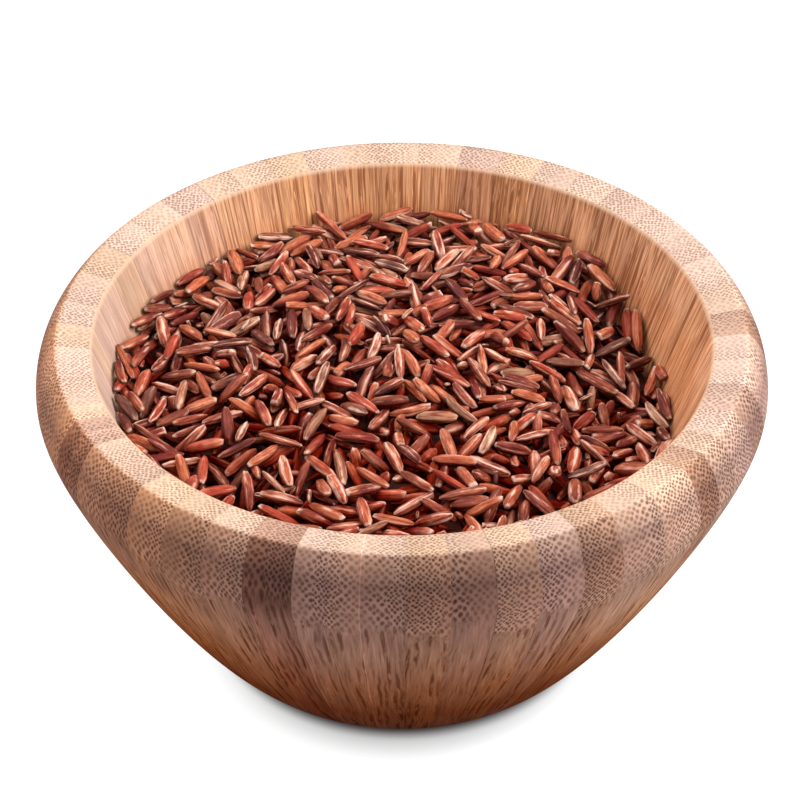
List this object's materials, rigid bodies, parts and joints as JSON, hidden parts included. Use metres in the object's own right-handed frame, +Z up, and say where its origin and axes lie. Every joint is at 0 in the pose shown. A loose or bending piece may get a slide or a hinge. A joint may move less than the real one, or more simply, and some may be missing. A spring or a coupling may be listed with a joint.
{
  "type": "bowl of red rice",
  "caption": "Small thick-walled bamboo bowl with a flat foot, rounded shoulder and level rim, filled with a heap of dry long-grain red rice.",
  "frame": {"origin": "centre of the bowl's flat foot, on the surface it stands on", "axes": "+Z up along the bowl's axis of turning; -Y towards the viewer, +X to the viewer's right"},
  "size_m": [0.12, 0.12, 0.06],
  "materials": {
    "bamboo": "glued bamboo staves turned and oiled, low satin sheen, fibre dots on the rim and streaks down the wall",
    "red_rice": "dry whole-grain bran, mahogany red with pale tips and scuffs, faint sheen"
  },
  "bodies": {
    "root": {"bamboo_bowl": "bamboo", "red_rice": "red_rice"}
  },
  "joints": []
}
